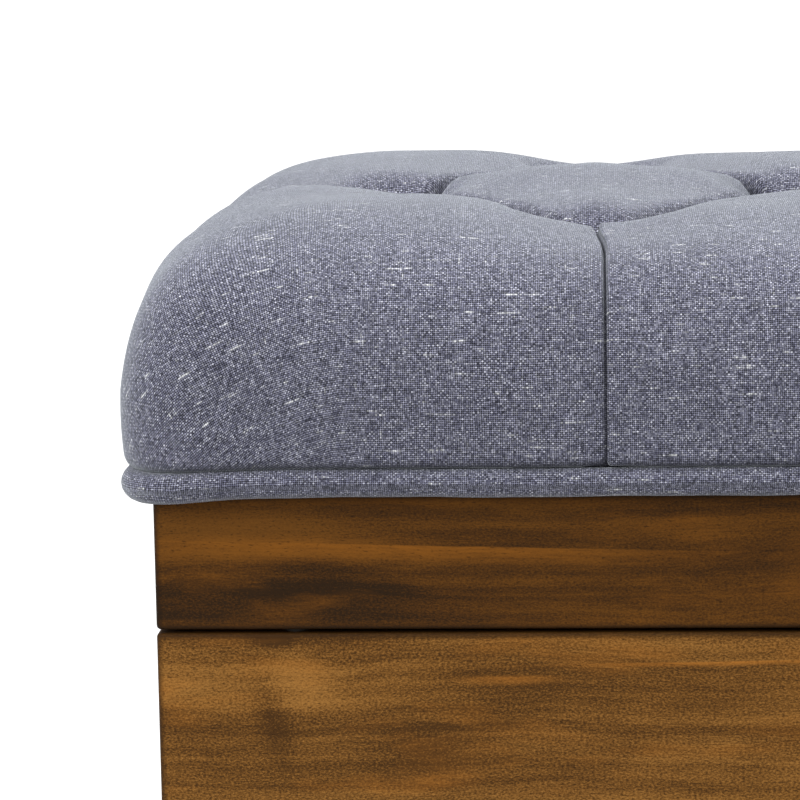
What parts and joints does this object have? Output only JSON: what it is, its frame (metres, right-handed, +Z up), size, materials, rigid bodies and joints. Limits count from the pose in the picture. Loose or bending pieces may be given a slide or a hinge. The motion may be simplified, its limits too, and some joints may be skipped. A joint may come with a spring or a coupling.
{
  "type": "storage bench",
  "caption": "Upholstered storage bench: wooden box on glides with a hinged lid carrying a deep-tufted, welted fabric cushion on a wooden apron.",
  "frame": {"origin": "on the floor, under the middle of the bench", "axes": "+X to the bench's right along its length, the front faces -Y, +Z up"},
  "size_m": [1.096, 0.446, 0.4745],
  "materials": {
    "lid_wood": "satin",
    "box_wood": "satin",
    "inner_wood": "matte",
    "plywood": "matte",
    "plated_steel": "satin",
    "hinge_metal": "satin",
    "glide_plastic": "matte",
    "bumper_rubber": "matte",
    "washer_nylon": "matte",
    "foam": "matte",
    "linen": "matte",
    "twine": "matte",
    "lining_cloth": "matte"
  },
  "bodies": {
    "box": {"back_bottom_cleat": "inner_wood", "back_left_post": "inner_wood", "back_panel": "box_wood", "back_right_post": "inner_wood", "bottom_brace": "inner_wood", "bottom_cleat_screws": "plated_steel", "bottom_panel": "plywood", "bottom_panel_screws": "plated_steel", "floor_glides": "glide_plastic", "front_bottom_cleat": "inner_wood", "front_left_post": "inner_wood", "front_panel": "box_wood", "front_right_post": "inner_wood", "glide_nails": "plated_steel", "hinge_box_leaves": "hinge_metal", "hinge_box_screws": "plated_steel", "hinge_friction_washers": "washer_nylon", "hinge_pins": "plated_steel", "left_bottom_cleat": "inner_wood", "left_side_panel": "box_wood", "lid_bumpers": "bumper_rubber", "post_screws": "plated_steel", "right_bottom_cleat": "inner_wood", "right_side_panel": "box_wood"},
    "lid": {"cover_staples": "plated_steel", "hinge_lid_leaves": "hinge_metal", "hinge_lid_screws": "plated_steel", "lid_back_cleat": "inner_wood", "lid_back_rail": "lid_wood", "lid_dowels": "inner_wood", "lid_front_cleat": "inner_wood", "lid_front_rail": "lid_wood", "lid_left_cleat": "inner_wood", "lid_left_rail": "lid_wood", "lid_lining": "lining_cloth", "lid_rail_screws": "plated_steel", "lid_right_cleat": "inner_wood", "lid_right_rail": "lid_wood", "lining_staples": "plated_steel", "seat_board": "plywood", "seat_board_screws": "plated_steel", "seat_cover": "linen", "seat_foam": "foam", "tuft_buttons": "linen", "tuft_cords": "twine", "tuft_washers": "plated_steel", "welt": "linen"}
  },
  "joints": [
    {"name": "lid_hinge", "type": "hinge", "parent": "box", "child": "lid", "pos_m": [0, 0.215, 0.30675], "axis": [-1, 0, 0], "range_deg": [0, 90]}
  ]
}
